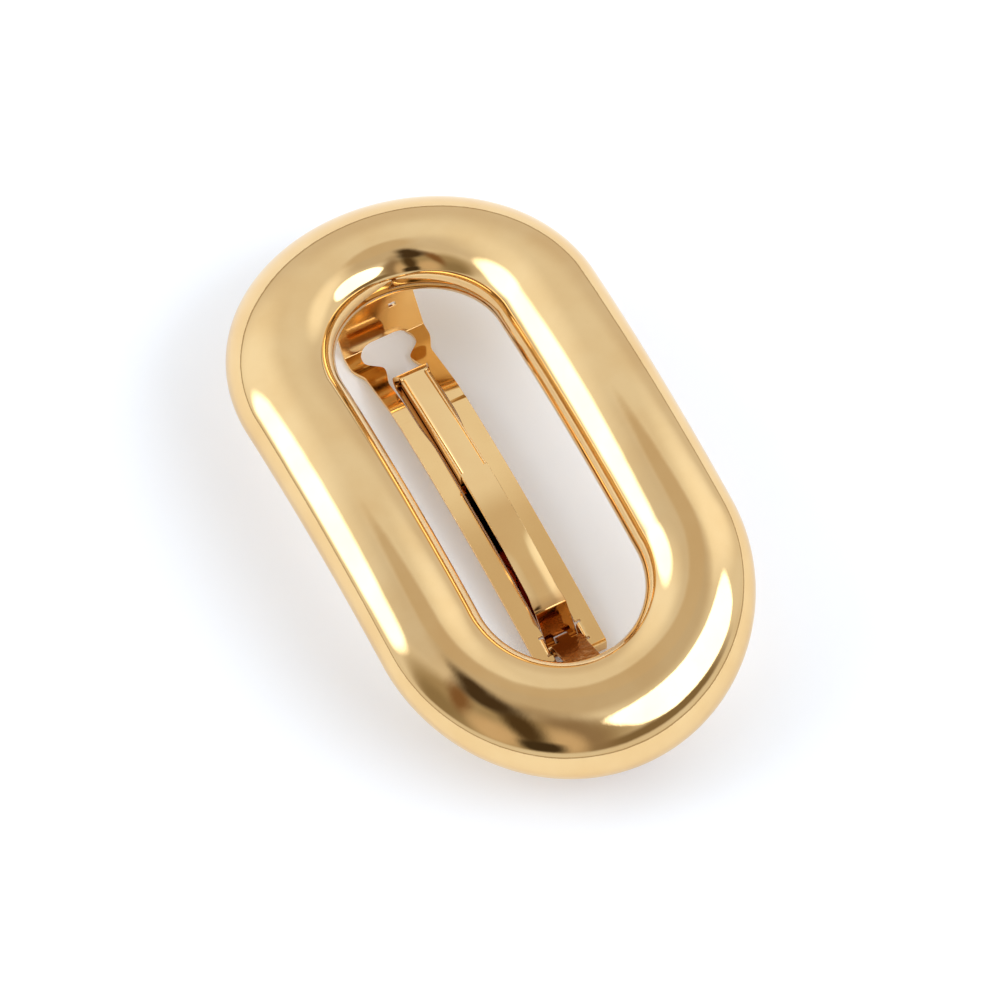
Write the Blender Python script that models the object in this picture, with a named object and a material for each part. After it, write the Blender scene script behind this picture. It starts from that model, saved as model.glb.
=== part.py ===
"""Spring hair clip: a puffy oval ring over a slotted spring clasp, all in polished gold plate.

The ring's long axis runs along X, with the clasp's pin at +X and its nose at -X. The clip lies closed on
z = 0, and the origin is under the middle of the ring. All lengths are in metres.
"""
import math

import bmesh
import bpy
from mathutils import Matrix

# Ring, seen from above: two straight runs joined by half circles, arched along its length
RING_STRAIGHT = 0.0316
RING_END_RADIUS = 0.01505
RING_ARCH_RADIUS = 0.119
TUBE_HALF_WIDTH = 0.00586
TUBE_HALF_HEIGHT = 0.00456
SHELL_WALL = 0.0008
SEAM_DROP = 0.0026
BACK_DROP = 0.0034
SEAM_GAP = 0.0001
END_STEPS = 30
STRAIGHT_STEPS = 12
OUTER_STEPS = 22
INNER_STEPS = 8
BACK_STEPS = 4

# Height of the middle of the tube over the surface that the clip lies on
RING_HEIGHT = 0.013

# Sheet that the clasp is pressed from, and the clearance between its pieces
SHEET = 0.0005
CLEARANCE = 0.0003
BEND_STEPS = 4

# Hinge pin across the clasp
PIN_X = 0.0173
PIN_RADIUS = 0.0004
PIN_CLEARANCE = 0.00008
PIN_UNDER_ARM = 0.0001
PIN_PAST_EAR = 0.0002
PIN_SIDES = 16
CURL_STEPS = 12

# Locking arm: the slotted strip at the bottom, with its nose turned up behind the ring
ARM_HALF_WIDTH = 0.004
ARM_MID_DROP = 0.0095
ARM_TILT = 0.027
ARM_ARCH_RADIUS = 0.15
ARM_END_X = 0.0194
ARM_BEND_RADIUS = 0.004
VALLEY_FROM_TUBE = 0.00825
VALLEY_RADIUS = 0.0006
NOSE_ANGLE = math.radians(54)
NOSE_UNDER_RING = 0.00285
NOSE_HALF_WIDTH = 0.0048
FLARE_LENGTH = 0.0024
ARM_ROW_STEP = 0.0019

# Places along the arm, from the hinge end of its valley's flat floor
DIP_START_FROM_VALLEY = 0.0078
FLARE_START_FROM_VALLEY = 0.0015
NOSE_BEND_FROM_VALLEY = -0.0021
WINDOW_START_FROM_VALLEY = -0.0024
WINDOW_MIDDLE_FROM_VALLEY = -0.0008
NECK_FROM_VALLEY = 0.0011
SLOT_BAY_START_FROM_VALLEY = 0.0037
SLOT_BAY_TAPER_FROM_VALLEY = 0.0101
SLOT_BAY_END_FROM_VALLEY = 0.0141
BAR_FOLD_FROM_VALLEY = 0.005

# The arm's opening: window in the nose, neck, slot, and passage for the hinge tongue
WINDOW_HALF_WIDTH = 0.00315
WINDOW_END_HALF_WIDTH = 0.0015
WINDOW_ROWS = 6
NECK_HALF_WIDTH = 0.00155
NECK_ROWS = 4
SLOT_HALF_WIDTH = 0.0019
SLOT_BAY_DEPTH = 0.0003
EAR_BEFORE_PIN = 0.0011
EAR_AFTER_PIN = 0.0008
NOTCH_LENGTH = 0.0004
NOTCH_DEPTH = 0.0007
PASSAGE_CLEARANCE = 0.00045
LIP_BRIDGE_HEIGHT = 0.0006
NOSE_HOLE_HALF_WIDTH = 0.00045
NOSE_HOLE_LENGTH = 0.00036
NOSE_HOLE_OFFSET = 0.0021
NOSE_HOLE_FROM_END = 0.0007

# Tension bar: one sprung strip, folded back on itself at its tip, over and in the arm's slot
BAR_TOP_DROP = 0.0071
BAR_CREST_X = -0.0015
BAR_ARCH_RADIUS = 0.068
BAR_ARCH_REACH = 0.008
BAR_FLANGE_END_X = -0.0036
BAR_FLANGE_END_STEP = 0.0002
BAR_FOLD_STEPS = 8
BAR_CREASE_X = 0.014
BAR_LEAF_END_X = 0.015
BAR_STEPS = 20
BAR_END_HALF_WIDTH = 0.0015
BAR_NECK_X = 0.0118
BAR_SIDE_DROP = 0.0002
BAR_CAMBER_X = 0.003
BAR_CAMBER_LENGTH = 0.006
BAR_CURL_INNER_Y = 0.0009
BAR_CURL_SWEEP = math.radians(215)

# Brackets soldered under the ring: the hinge tongue and the catch plate
BRACKET_HALF_WIDTH = 0.004
BRACKET_START_FROM_TUBE = 0.0088
BRACKET_END_FROM_TUBE = 0.0028
BRACKET_STEPS = 5
SOLDER_THICKNESS = 0.0003
SOLDER_GAP = 0.00005
SOLDER_INSET = 0.0006
SOLDER_START_FROM_TUBE = 0.0038
TONGUE_HALF_WIDTH = 0.00175
KNUCKLE_HALF_WIDTH = 0.0006
TONGUE_CURL_SWEEP = math.radians(255)
TONGUE_BEND_RADIUS = 0.002

# Catch fingers: two sprung strips that hang behind the nose
FINGER_OFFSET = 0.0018
FINGER_HALF_WIDTH = 0.0007
FINGER_GAP_TO_NOSE = 0.0006
FINGER_LENGTH = 0.0036
FINGER_BUMP_DROP = 0.0018
FINGER_BUMP_HALF_LENGTH = 0.0006
FINGER_BUMP_HEIGHT = 0.0003

GOLD_RING = (0.83, 0.6, 0.27, 1.0)
GOLD_CLASP = (0.8, 0.54, 0.22, 1.0)
SOLDER_GREY_GOLD = (0.6, 0.5, 0.33, 1.0)


def clear_scene():
    for old in list(bpy.data.objects):
        bpy.data.objects.remove(old, do_unlink=True)


def metal(name, colour, roughness):
    material = bpy.data.materials.new(name)
    material.use_nodes = True
    shader = material.node_tree.nodes["Principled BSDF"]
    shader.inputs["Base Color"].default_value = colour
    shader.inputs["Metallic"].default_value = 1.0
    shader.inputs["Roughness"].default_value = roughness
    return material


def add_object(name, bm, material, origin=(0.0, 0.0, 0.0)):
    """Makes an object from bm, whose points are in the world, with its own origin at the given place."""
    bmesh.ops.translate(bm, verts=bm.verts, vec=[-value for value in origin])
    mesh = bpy.data.meshes.new(name)
    bm.to_mesh(mesh)
    bm.free()
    mesh.materials.append(material)
    mesh.shade_smooth()
    mesh.set_sharp_from_angle(angle=math.radians(35))
    piece = bpy.data.objects.new(name, mesh)
    piece.location = origin
    bpy.context.scene.collection.objects.link(piece)
    return piece


def arch_drop(x):
    """How far the arched ring has fallen at this distance from its middle."""
    return x * x / (2 * RING_ARCH_RADIUS)


def ring_back_z(x):
    return RING_HEIGHT - BACK_DROP - arch_drop(x)


def ring_path():
    """Points and outward normals round the middle of the tube."""
    path = []
    half = RING_STRAIGHT / 2
    for side in (1, -1):
        for k in range(STRAIGHT_STEPS):
            x = side * (half - RING_STRAIGHT * k / STRAIGHT_STEPS)
            path.append((x, side * RING_END_RADIUS, 0.0, side))
        for k in range(END_STEPS):
            turn = side * math.pi / 2 + math.pi * k / END_STEPS
            normal = (math.cos(turn), math.sin(turn))
            centre = -side * half
            path.append((centre + RING_END_RADIUS * normal[0], RING_END_RADIUS * normal[1], *normal))
    return path


def sweep_ring(section):
    """Closed mesh of a closed section, given as (outward, up) points, carried round the ring's path."""
    bm = bmesh.new()
    loops = []
    for x, y, nx, ny in ring_path():
        loop = []
        for out, up in section:
            px = x + nx * out
            loop.append(bm.verts.new((px, y + ny * out, RING_HEIGHT + up - arch_drop(px))))
        loops.append(loop)
    count = len(section)
    for this, following in zip(loops, loops[1:] + loops[:1]):
        for k in range(count):
            n = (k + 1) % count
            bm.faces.new((this[k], this[n], following[n], following[k]))
    bmesh.ops.recalc_face_normals(bm, faces=bm.faces)
    return bm


def ellipse_arc(half_width, half_height, drop, steps):
    """Points of the ellipse from the level of the drop, up over the top and down to it again."""
    start = -math.asin(drop / half_height)
    sweep = math.pi - 2 * start
    turns = [start + sweep * k / steps for k in range(steps + 1)]
    return [(half_width * math.cos(t), half_height * math.sin(t)) for t in turns]


def make_front_shell(material):
    outer = ellipse_arc(TUBE_HALF_WIDTH, TUBE_HALF_HEIGHT, SEAM_DROP, OUTER_STEPS)
    inner_width = TUBE_HALF_WIDTH - SHELL_WALL
    inner_height = TUBE_HALF_HEIGHT - SHELL_WALL
    inner = ellipse_arc(inner_width, inner_height, SEAM_DROP, INNER_STEPS)
    add_object("ring_front_shell", sweep_ring(outer + inner[::-1]), material)


def make_back_plate(material):
    """Flat plate that closes the tube from below, with sides that carry on the shell's curve."""
    section = []
    for drop, side in ((SEAM_DROP + SEAM_GAP, -1), (BACK_DROP, 1)):
        reach = TUBE_HALF_WIDTH * math.sqrt(1 - (drop / TUBE_HALF_HEIGHT) ** 2)
        section += [(side * reach * (1 - 2 * k / BACK_STEPS), -drop) for k in range(BACK_STEPS + 1)]
    add_object("ring_back_plate", sweep_ring(section), material)


def rounded(points, radius):
    """The (x, z) polyline with each inner corner turned into an arc of the given radius."""
    result = [points[0]]
    for before, corner, after in zip(points, points[1:], points[2:]):
        a = (before[0] - corner[0], before[1] - corner[1])
        b = (after[0] - corner[0], after[1] - corner[1])
        la = math.hypot(*a)
        lb = math.hypot(*b)
        ua = (a[0] / la, a[1] / la)
        ub = (b[0] / lb, b[1] / lb)
        half = math.acos(max(-1.0, min(1.0, ua[0] * ub[0] + ua[1] * ub[1]))) / 2
        reach = min(radius / math.tan(half), la / 2, lb / 2)
        bend = reach * math.tan(half)
        along = (ua[0] + ub[0], ua[1] + ub[1])
        size = math.hypot(*along)
        depth = bend / math.sin(half)
        centre = (corner[0] + along[0] / size * depth, corner[1] + along[1] / size * depth)
        first = math.atan2(corner[1] + ua[1] * reach - centre[1], corner[0] + ua[0] * reach - centre[0])
        last = math.atan2(corner[1] + ub[1] * reach - centre[1], corner[0] + ub[0] * reach - centre[0])
        turn = (last - first + math.pi) % (2 * math.pi) - math.pi
        for k in range(BEND_STEPS + 1):
            angle = first + turn * k / BEND_STEPS
            result.append((centre[0] + bend * math.cos(angle), centre[1] + bend * math.sin(angle)))
    result.append(points[-1])
    return result


def height_on(profile, x):
    """Height at x of an (x, z) polyline whose x runs one way."""
    ordered = sorted(profile)
    for (x0, z0), (x1, z1) in zip(ordered, ordered[1:]):
        if x <= x1:
            return z0 + (z1 - z0) * (x - x0) / (x1 - x0)
    return ordered[-1][1]


def sheet_grid(rows, present):
    """Surface through rows of points, with a face in each cell that present(row, column) allows."""
    bm = bmesh.new()
    grid = [[bm.verts.new(point) for point in row] for row in rows]
    for i in range(len(rows) - 1):
        for j in range(len(rows[i]) - 1):
            if present(i, j):
                bm.faces.new((grid[i][j], grid[i + 1][j], grid[i + 1][j + 1], grid[i][j + 1]))
    loose = [vert for vert in bm.verts if not vert.link_faces]
    bmesh.ops.delete(bm, geom=loose, context="VERTS")
    return bm


def thicken(piece, offset, thickness):
    """Gives the sheet its thickness, below its face at offset -1 and on both sides of it at 0."""
    solid = piece.modifiers.new("sheet", "SOLIDIFY")
    solid.thickness = thickness
    solid.offset = offset
    solid.use_even_offset = True
    solid.use_quality_normals = True


def arm_arch_z(x):
    return RING_HEIGHT - ARM_MID_DROP - ARM_TILT * x - x * x / (2 * ARM_ARCH_RADIUS)


def tube_middle_x():
    return RING_STRAIGHT / 2 + RING_END_RADIUS


def from_valley(distance):
    """Place along the arm, measured from its valley's hinge end, which lies ahead of the tube."""
    return VALLEY_FROM_TUBE - tube_middle_x() + distance


def nose_line():
    """The valley's flat floor and the nose that is bent up from it, to its tip behind the ring."""
    floor_start = (from_valley(0.0), SHEET)
    bend = (from_valley(NOSE_BEND_FROM_VALLEY), SHEET)
    tip_z = ring_back_z(floor_start[0]) - NOSE_UNDER_RING
    tip_x = bend[0] - (tip_z - SHEET) / math.tan(NOSE_ANGLE)
    return [floor_start, bend, (tip_x, tip_z)]


def arm_profile():
    """The arm's upper face along its length: arch, dip to the valley, and nose turned up."""
    arch = []
    dip_start = from_valley(DIP_START_FROM_VALLEY)
    steps = int((ARM_END_X - dip_start) / ARM_ROW_STEP)
    for k in range(steps + 1):
        x = ARM_END_X + (dip_start - ARM_END_X) * k / steps
        arch.append((x, arm_arch_z(x)))
    line = nose_line()
    dip = rounded([arch[-2], arch[-1], line[0]], ARM_BEND_RADIUS)
    nose = rounded([arch[-1]] + line, VALLEY_RADIUS)
    return arch[:-1] + dip[1:-1] + nose[1:]


def nose_end():
    return arm_profile()[-1][0]


def pin_z():
    return arm_arch_z(PIN_X) - SHEET - PIN_UNDER_ARM - PIN_RADIUS


def ease(value):
    """Smooth step from 0 to 1."""
    share = max(0.0, min(1.0, value))
    return share * share * (3 - 2 * share)


def arm_edge(x):
    """Half width of the arm, which flares at the nose."""
    flare = ease((from_valley(FLARE_START_FROM_VALLEY) - x) / FLARE_LENGTH)
    return ARM_HALF_WIDTH + (NOSE_HALF_WIDTH - ARM_HALF_WIDTH) * flare


def ear_span():
    """Where the ears that carry the pin start and end along the arm."""
    return PIN_X - EAR_BEFORE_PIN, PIN_X + EAR_AFTER_PIN


def notch_spans():
    """The relief notches at both ends of each ear."""
    start, end = ear_span()
    return (start - NOTCH_LENGTH, start), (end, end + NOTCH_LENGTH)


def opening_places():
    """Where the window, its middle, the neck, and the slot's wider bay start and end."""
    distances = (WINDOW_START_FROM_VALLEY, WINDOW_MIDDLE_FROM_VALLEY, NECK_FROM_VALLEY,
                 SLOT_BAY_START_FROM_VALLEY, SLOT_BAY_TAPER_FROM_VALLEY, SLOT_BAY_END_FROM_VALLEY)
    return [from_valley(distance) for distance in distances]


def arm_opening(x):
    """Half width of the arm's opening: window, neck, slot with its wider bay, and tongue passage."""
    start, middle, neck, bay_start, taper, bay_end = opening_places()
    if x <= middle:
        reach = (middle - x) / (middle - start)
        bow = math.sqrt(max(0.0, 1 - reach ** 3))
        return WINDOW_END_HALF_WIDTH + (WINDOW_HALF_WIDTH - WINDOW_END_HALF_WIDTH) * bow
    bay = SLOT_HALF_WIDTH + SLOT_BAY_DEPTH
    if x <= neck:
        closed = ease((x - middle) / (neck - middle))
        return WINDOW_HALF_WIDTH + (NECK_HALF_WIDTH - WINDOW_HALF_WIDTH) * closed
    if x <= bay_start:
        opened = ease((x - neck) / (bay_start - neck))
        return NECK_HALF_WIDTH + (bay - NECK_HALF_WIDTH) * opened
    if x > ear_span()[1] + NOTCH_LENGTH / 2:
        return TONGUE_HALF_WIDTH + PASSAGE_CLEARANCE
    return bay - SLOT_BAY_DEPTH * ease((x - taper) / (bay_end - taper))


def opening_rows():
    """Places along the arm where its opening or its edge changes."""
    start, middle, neck, bay_start, taper, bay_end = opening_places()
    rows = [nose_end(), ARM_END_X, taper, bay_end]
    rows += nose_hole_span()
    for span in notch_spans():
        rows += span
    spans = ((start, middle, WINDOW_ROWS), (middle, neck, NECK_ROWS), (neck, bay_start, NECK_ROWS))
    for start, end, count in spans:
        rows += [start + (end - start) * ease(k / count) for k in range(count + 1)]
    return rows


def nose_hole_span():
    end = nose_end() + NOSE_HOLE_FROM_END
    return [end, end + NOSE_HOLE_LENGTH]


def arm_columns(x, z):
    """One row of points across the arm, with the feet of its two ears in the middle."""
    edge = arm_edge(x)
    places = opening_places()
    if x < places[0]:
        inner = NOSE_HOLE_OFFSET - NOSE_HOLE_HALF_WIDTH
        middle = NOSE_HOLE_OFFSET + NOSE_HOLE_HALF_WIDTH
    else:
        inner = arm_opening(x)
        middle = SLOT_HALF_WIDTH + NOTCH_DEPTH if x > places[-1] else (inner + edge) / 2
    start, end = ear_span()
    on_ear = start - NOTCH_LENGTH / 2 < x < end + NOTCH_LENGTH / 2
    foot = (inner, 0.0) if on_ear else (inner / 2, z)
    half = [(edge, z), (middle, z), (inner, z), foot]
    return [(x, -y, height) for y, height in half] + [(x, y, height) for y, height in half[::-1]]


def make_arm(material):
    profile = arm_profile()
    stations = sorted({round(x, 7) for x in opening_rows() + [x for x, z in profile]})
    rows = [arm_columns(x, height_on(profile, x)) for x in stations]
    plate_rows = len(rows)
    for z in (LIP_BRIDGE_HEIGHT, 0.0):
        rows.append([(x, y, z) for x, y, old_z in rows[plate_rows - 1]])
    holes = {1: notch_spans(), 5: (nose_hole_span(), *notch_spans())}
    ear_start, ear_end = ear_span()
    window_start = opening_places()[0]

    def present(i, j):
        on_lip = i >= plate_rows - 1
        x = stations[-1] if on_lip else (stations[i] + stations[i + 1]) / 2
        if j in (0, 6):
            return True
        if j in holes:
            return not any(start < x < end for start, end in holes[j])
        across = x < window_start or i == plate_rows
        return across or (j != 3 and ear_start < x < ear_end)

    arm = add_object("locking_arm", sheet_grid(rows, present), material, (PIN_X, 0.0, pin_z()))
    thicken(arm, -1.0, SHEET)
    bore = turned_along_y("arm_pin_bore", ARM_HALF_WIDTH, PIN_RADIUS + PIN_CLEARANCE, material)
    bore.hide_render = True
    bore.display_type = "WIRE"
    cut = arm.modifiers.new("pin bore", "BOOLEAN")
    cut.object = bore
    cut.operation = "DIFFERENCE"
    return arm


def turned_along_y(name, half_length, radius, material):
    """Round bar on the pin's axis."""
    bm = bmesh.new()
    turn = Matrix.Rotation(math.pi / 2, 4, "X")
    place = Matrix.Translation((PIN_X, 0.0, pin_z()))
    bmesh.ops.create_cone(bm, cap_ends=True, segments=PIN_SIDES, radius1=radius, radius2=radius,
                          depth=2 * half_length, matrix=place @ turn)
    return add_object(name, bm, material, (PIN_X, 0.0, pin_z()))


def make_pin(material):
    turned_along_y("hinge_pin", SLOT_HALF_WIDTH + SHEET + PIN_PAST_EAR, PIN_RADIUS, material)


def curl_round_pin(start, sweep):
    """Tangent from the start to the curl's middle line, and the curl, turning anticlockwise from -Y."""
    radius = PIN_RADIUS + PIN_CLEARANCE + SHEET / 2
    dx = PIN_X - start[0]
    dz = pin_z() - start[1]
    heading = math.atan2(dz, dx) - math.asin(radius / math.hypot(dx, dz))
    first = heading - math.pi / 2
    turns = [first + sweep * k / CURL_STEPS for k in range(CURL_STEPS + 1)]
    curl = [(PIN_X + radius * math.cos(t), pin_z() + radius * math.sin(t)) for t in turns]
    return heading, curl


def point_before(curl, heading, distance):
    """Point on the tangent, this far ahead of where the curl starts."""
    return (curl[0][0] - distance * math.cos(heading), curl[0][1] - distance * math.sin(heading))


def knuckle_reach():
    """How far from the pin's curls a full-width strip has to stop."""
    outer = PIN_RADIUS + PIN_CLEARANCE + SHEET + CLEARANCE
    return math.sqrt((outer + SHEET / 2) ** 2 - (outer - CLEARANCE - SHEET / 2) ** 2)


def bar_z(x):
    """Middle of the tension bar's thickness: bowed, and straight on towards its tip."""
    away = x - BAR_CREST_X
    bowed = max(away, -BAR_ARCH_REACH)
    fall = bowed * (2 * away - bowed) / (2 * BAR_ARCH_RADIUS)
    return RING_HEIGHT - BAR_TOP_DROP - SHEET / 2 - fall


def bar_half_width(x):
    """The bar fits the arm's slot, and narrows ahead of the hinge."""
    full = SLOT_HALF_WIDTH - CLEARANCE
    narrowed = ease((x - BAR_NECK_X) / (BAR_CREASE_X - BAR_NECK_X))
    return full + (BAR_END_HALF_WIDTH - full) * narrowed


def leaf_z(x):
    """Middle of the lower leaf's thickness, flush with the arm's upper face."""
    return arm_arch_z(x) - SHEET / 2


def flange_foot_z(x):
    """Lower edge of the bar's flanges, a clearance above the lower leaf."""
    return leaf_z(x) + SHEET / 2 + CLEARANCE


def bar_fold():
    """Points round the fold at the tip, from the lower leaf to the upper."""
    fold_x = from_valley(BAR_FOLD_FROM_VALLEY)
    low = leaf_z(fold_x)
    radius = (bar_z(fold_x) - low) / 2
    turns = [math.pi * k / BAR_FOLD_STEPS for k in range(1, BAR_FOLD_STEPS)]
    return [(fold_x - radius * math.sin(t), low + radius * (1 - math.cos(t))) for t in turns]


def bar_path():
    """Runs of the strip, in order: lower leaf, fold at the tip, upper leaf, and fork with its curl."""
    fold_x = from_valley(BAR_FOLD_FROM_VALLEY)
    lower = []
    places = [BAR_FLANGE_END_X, BAR_FLANGE_END_X + BAR_FLANGE_END_STEP]
    for k in range(BAR_STEPS + 1):
        x = BAR_LEAF_END_X + (fold_x - BAR_LEAF_END_X) * k / BAR_STEPS
        lower.append((x, leaf_z(x)))
        places.append(fold_x + (BAR_CREASE_X - fold_x) * k / BAR_STEPS)
    upper = [(x, bar_z(x)) for x in sorted(places)]
    heading, curl = curl_round_pin(upper[-1], BAR_CURL_SWEEP)
    fork = point_before(curl, heading, knuckle_reach())
    return lower, bar_fold(), upper, [fork] + curl


def bar_row(x, z, outer, flanged, side=0.0):
    """One row across the bar: feet and tops of its flanges, then the forked ends' inner sides."""
    edge = outer - SHEET / 2 if flanged else outer
    half = [(edge, flange_foot_z(x)), (edge, z - side), (BAR_CURL_INNER_Y, z)]
    return [(x, -y, pz) for y, pz in half] + [(x, y, pz) for y, pz in half[::-1]]


def make_tension_bar(material):
    lower, fold, upper, forked = bar_path()
    leaf_edge = arm_opening(lower[-1][0]) - CLEARANCE
    tip_edge = bar_half_width(upper[0][0])
    rows = [bar_row(x, z, arm_opening(x) - CLEARANCE, False) for x, z in lower]
    for k, (x, z) in enumerate(fold, start=1):
        share = ease(k / (len(fold) + 1))
        rows.append(bar_row(x, z, leaf_edge + (tip_edge - leaf_edge) * share, False))
    first_upper = len(rows)
    for x, z in upper:
        side = BAR_SIDE_DROP * ease((x - BAR_CAMBER_X) / BAR_CAMBER_LENGTH)
        rows.append(bar_row(x, z, bar_half_width(x), x <= BAR_FLANGE_END_X, side))
    fork_row = len(rows)
    rows += [bar_row(x, z, BAR_END_HALF_WIDTH, False) for x, z in forked]

    def present(i, j):
        if j in (0, 4):
            return i >= first_upper and rows[i + 1][0][0] <= BAR_FLANGE_END_X
        return i < fork_row or j != 2

    bar = add_object("tension_bar", sheet_grid(rows, present), material, (PIN_X, 0.0, pin_z()))
    thicken(bar, 0.0, SHEET)


def bracket_z(x):
    """Middle of a bracket plate's thickness, under the solder on the ring's back."""
    return ring_back_z(x) - 2 * SOLDER_GAP - SOLDER_THICKNESS - SHEET / 2


def bracket_line(side, near, inset=0.0):
    """Points along a bracket plate, from under the ring's far edge to its near end, in by the inset."""
    far = tube_middle_x() + BRACKET_END_FROM_TUBE - inset
    near = near + inset
    xs = [side * (far + (near - far) * k / BRACKET_STEPS) for k in range(BRACKET_STEPS + 1)]
    return [(x, bracket_z(x)) for x in xs]


def make_hinge_bracket(material):
    plate = bracket_line(1, tube_middle_x() - BRACKET_START_FROM_TUBE)
    heading, curl = curl_round_pin(plate[-1], TONGUE_CURL_SWEEP)
    shoulder = point_before(curl, heading, knuckle_reach())
    bend = rounded([plate[-2], plate[-1], shoulder], TONGUE_BEND_RADIUS)
    path = plate[:-1] + bend[1:-1] + [shoulder] + curl
    plate_row = len(plate) - 1
    shoulder_row = len(path) - len(curl) - 1
    half = [KNUCKLE_HALF_WIDTH, TONGUE_HALF_WIDTH, BRACKET_HALF_WIDTH]
    across = half[::-1] + [-y for y in half]
    rows = [[(x, y, z) for y in across] for x, z in path]

    def present(i, j):
        if j in (0, 4):
            return i < plate_row
        return j == 2 or i < shoulder_row

    bracket = add_object("hinge_bracket", sheet_grid(rows, present), material)
    thicken(bracket, 0.0, SHEET)


def make_catch_bracket(material):
    line = bracket_line(-1, catch_start())
    rows = [[(x, y, z) for y in (-BRACKET_HALF_WIDTH, BRACKET_HALF_WIDTH)] for x, z in line]
    thicken(add_object("catch_bracket", sheet_grid(rows, lambda i, j: True), material), 0.0, SHEET)


def catch_start():
    """Near edge of the catch plate, just past the front of the fingers."""
    return -finger_x() - SHEET / 2


def make_solder(name, side, near, material):
    line = bracket_line(side, near, SOLDER_INSET)
    lift = SHEET / 2 + SOLDER_GAP + SOLDER_THICKNESS / 2
    edge = BRACKET_HALF_WIDTH - SOLDER_INSET
    rows = [[(x, y, z + lift) for y in (edge, -edge)] for x, z in line]
    thicken(add_object(name, sheet_grid(rows, lambda i, j: True), material), 0.0, SOLDER_THICKNESS)


def finger_x():
    """Middle of the catch fingers' thickness, behind the nose's rear corner."""
    return nose_end() - SHEET * math.sin(NOSE_ANGLE) - FINGER_GAP_TO_NOSE - SHEET / 2


def make_finger(name, side, material):
    x = finger_x()
    top = bracket_z(x) - SHEET / 2 - CLEARANCE
    bump = top - FINGER_BUMP_DROP
    path = [(x, top), (x, bump + FINGER_BUMP_HALF_LENGTH), (x + FINGER_BUMP_HEIGHT, bump),
            (x, bump - FINGER_BUMP_HALF_LENGTH), (x, top - FINGER_LENGTH)]
    middle = side * FINGER_OFFSET
    across = (middle - FINGER_HALF_WIDTH, middle + FINGER_HALF_WIDTH)
    rows = [[(px, y, pz) for y in across] for px, pz in path]
    bm = sheet_grid(rows, lambda i, j: True)
    thicken(add_object(name, bm, material, (x, middle, top)), 0.0, SHEET)


clear_scene()
ring_gold = metal("polished_gold_ring", GOLD_RING, 0.06)
clasp_gold = metal("polished_gold_clasp", GOLD_CLASP, 0.1)
solder = metal("solder_under_plate", SOLDER_GREY_GOLD, 0.35)

make_front_shell(ring_gold)
make_back_plate(ring_gold)
make_solder("solder_hinge_end", 1, tube_middle_x() - SOLDER_START_FROM_TUBE, solder)
make_solder("solder_catch_end", -1, catch_start(), solder)
make_hinge_bracket(clasp_gold)
make_catch_bracket(clasp_gold)
make_pin(clasp_gold)
make_arm(clasp_gold)
make_tension_bar(clasp_gold)
make_finger("catch_finger_left", -1, clasp_gold)
make_finger("catch_finger_right", 1, clasp_gold)
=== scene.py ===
"""Spring hair clip: a puffy oval ring over a slotted spring clasp, in polished gold plate."""
import math

import bmesh
import bpy
import numpy as np
from mathutils import Matrix, Vector


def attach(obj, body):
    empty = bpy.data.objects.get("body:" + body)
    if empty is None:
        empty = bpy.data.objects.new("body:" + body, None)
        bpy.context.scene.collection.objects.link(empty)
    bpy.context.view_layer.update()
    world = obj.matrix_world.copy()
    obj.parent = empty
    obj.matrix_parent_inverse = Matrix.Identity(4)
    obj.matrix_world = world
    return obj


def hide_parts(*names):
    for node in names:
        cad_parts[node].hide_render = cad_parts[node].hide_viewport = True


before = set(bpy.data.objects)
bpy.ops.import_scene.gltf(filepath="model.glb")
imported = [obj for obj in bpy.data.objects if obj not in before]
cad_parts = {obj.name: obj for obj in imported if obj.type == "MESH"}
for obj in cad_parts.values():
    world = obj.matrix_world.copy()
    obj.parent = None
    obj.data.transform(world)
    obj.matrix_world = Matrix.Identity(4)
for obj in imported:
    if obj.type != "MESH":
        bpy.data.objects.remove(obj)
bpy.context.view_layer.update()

# Camera: a long lens, looking down on the clip from its front left, with the ring's hinge end towards it.
# The frame is the photograph's, 1000 by 1000, and a small shift puts the clip where it stands there.
CAMERA_AIM = np.array((0.0, 0.0, 0.013))
CAMERA_AZIMUTH = math.radians(62.909)
CAMERA_ELEVATION = math.radians(60.760)
CAMERA_ROLL = math.radians(-0.312)
CAMERA_DISTANCE = 1.484
SENSOR_WIDTH = 36.0
LENS = 504.0
SHIFT_X = 0.010625
SHIFT_Y = -0.037639
CLIP_START = 0.1
CLIP_END = 20.0


def camera_axes(azimuth, elevation, roll):
    """Right, up and back vectors of a camera that stands at this azimuth and elevation round the clip."""
    back = np.array((
        math.sin(azimuth) * math.cos(elevation),
        -math.cos(azimuth) * math.cos(elevation),
        math.sin(elevation),
    ))
    level = np.array((math.cos(azimuth), math.sin(azimuth), 0.0))
    upright = np.cross(back, level)
    right = math.cos(roll) * level + math.sin(roll) * upright
    return right, np.cross(back, right), back


right, up, back = camera_axes(CAMERA_AZIMUTH, CAMERA_ELEVATION, CAMERA_ROLL)
camera = bpy.data.objects.new("camera", bpy.data.cameras.new("camera"))
bpy.context.scene.collection.objects.link(camera)
place = np.eye(4)
place[:3, :3] = np.stack((right, up, back), axis=1)
place[:3, 3] = CAMERA_AIM + CAMERA_DISTANCE * back
camera.matrix_world = Matrix(place.tolist())
camera.data.sensor_width = SENSOR_WIDTH
camera.data.lens = LENS
camera.data.shift_x = SHIFT_X
camera.data.shift_y = SHIFT_Y
camera.data.clip_start = CLIP_START
camera.data.clip_end = CLIP_END
bpy.context.scene.camera = camera
bpy.context.scene.view_settings.view_transform = "Standard"

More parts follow.
